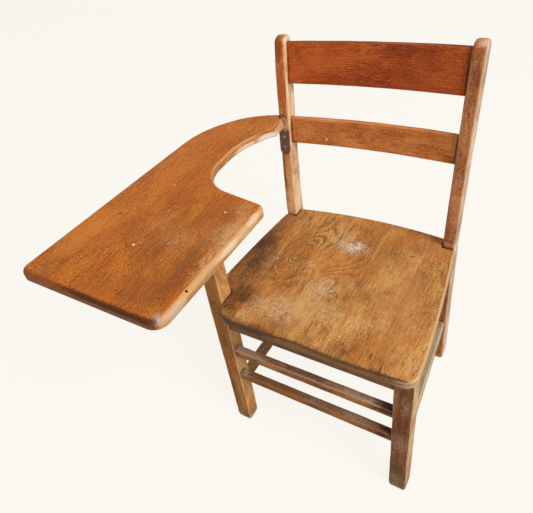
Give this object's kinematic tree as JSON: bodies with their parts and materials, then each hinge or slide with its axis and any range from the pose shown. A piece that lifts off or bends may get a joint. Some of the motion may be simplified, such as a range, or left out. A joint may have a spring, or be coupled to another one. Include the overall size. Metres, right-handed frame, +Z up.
{
  "type": "school desk",
  "caption": "Wooden school chair with a writing tablet on its right: the tall front post and the back post carry the tablet and its curved arm.",
  "frame": {"origin": "on the floor, under the middle of the overall box, tablet included", "axes": "+Z up, +Y from the front of the seat to its back, +X to the sitter's left, so that the tablet lies on the -X side"},
  "size_m": [0.5986, 0.6913, 0.8621],
  "materials": {
    "frame_wood": "aged clear varnish, worn to pale wood along the edges",
    "back_wood": "aged orange-brown varnish, satin",
    "seat_wood": "golden varnish, worn through in patches",
    "tablet_wood": "orange-brown varnish, worn at the inner edge",
    "inner_wood": "bare sawn hardwood",
    "bracket_iron": "dark, rust-brown strap iron",
    "screw_steel": "tarnished"
  },
  "bodies": {
    "root": {"front_post_right": "frame_wood", "front_leg_left": "frame_wood", "rear_post_right": "frame_wood", "rear_post_left": "frame_wood", "front_rail": "frame_wood", "rear_rail": "frame_wood", "side_rail_right": "frame_wood", "side_rail_left": "frame_wood", "rail_dowels": "inner_wood", "front_stretcher_upper": "frame_wood", "front_stretcher_lower": "frame_wood", "side_stretcher_right": "frame_wood", "side_stretcher_left": "frame_wood", "rear_stretcher": "frame_wood", "crest_rail": "back_wood", "lower_slat": "back_wood", "seat_board_1": "seat_wood", "seat_board_2": "seat_wood", "seat_board_3": "seat_wood", "seat_board_4": "seat_wood", "seat_board_5": "seat_wood", "corner_block_front_right": "inner_wood", "corner_block_front_left": "inner_wood", "corner_block_rear_right": "inner_wood", "corner_block_rear_left": "inner_wood", "block_screws": "screw_steel", "seat_screws": "screw_steel", "tablet_outer_board": "tablet_wood", "tablet_inner_board": "tablet_wood", "tablet_cleat": "inner_wood", "cleat_screws": "screw_steel", "tablet_post_dowel": "inner_wood", "arm_bracket": "bracket_iron", "bracket_post_screws": "screw_steel", "bracket_arm_screws": "screw_steel"}
  },
  "joints": []
}
